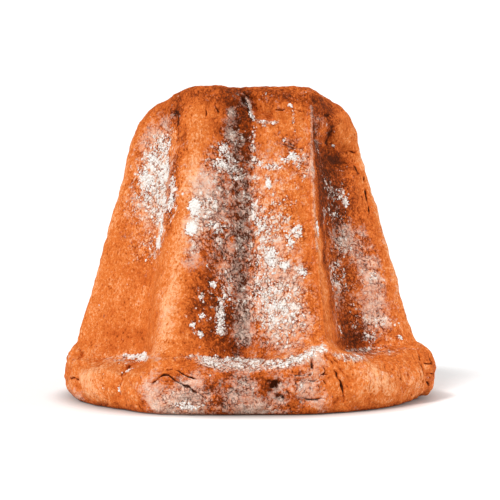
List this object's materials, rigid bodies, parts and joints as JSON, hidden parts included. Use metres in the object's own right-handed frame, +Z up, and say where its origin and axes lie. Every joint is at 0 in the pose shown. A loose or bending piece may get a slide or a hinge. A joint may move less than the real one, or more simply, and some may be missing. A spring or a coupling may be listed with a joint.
{
  "type": "pandoro",
  "caption": "Tall star-shaped sweet yeast cake with rounded flutes, a thick baked lip round its foot and icing sugar on its crust.",
  "frame": {"origin": "on the table, at the middle of the cake's box", "axes": "+Z up from the table along the cake's axis, through the crown; -Y towards the front, where the torn fold of the lip is; +X to the right of someone facing the front"},
  "size_m": [0.2332, 0.2362, 0.1903],
  "materials": {
    "crust": "baked golden-brown crust, matte, finely pitted",
    "icing_sugar": "matte white powder"
  },
  "bodies": {
    "root": {"pandoro": "crust"}
  },
  "joints": []
}
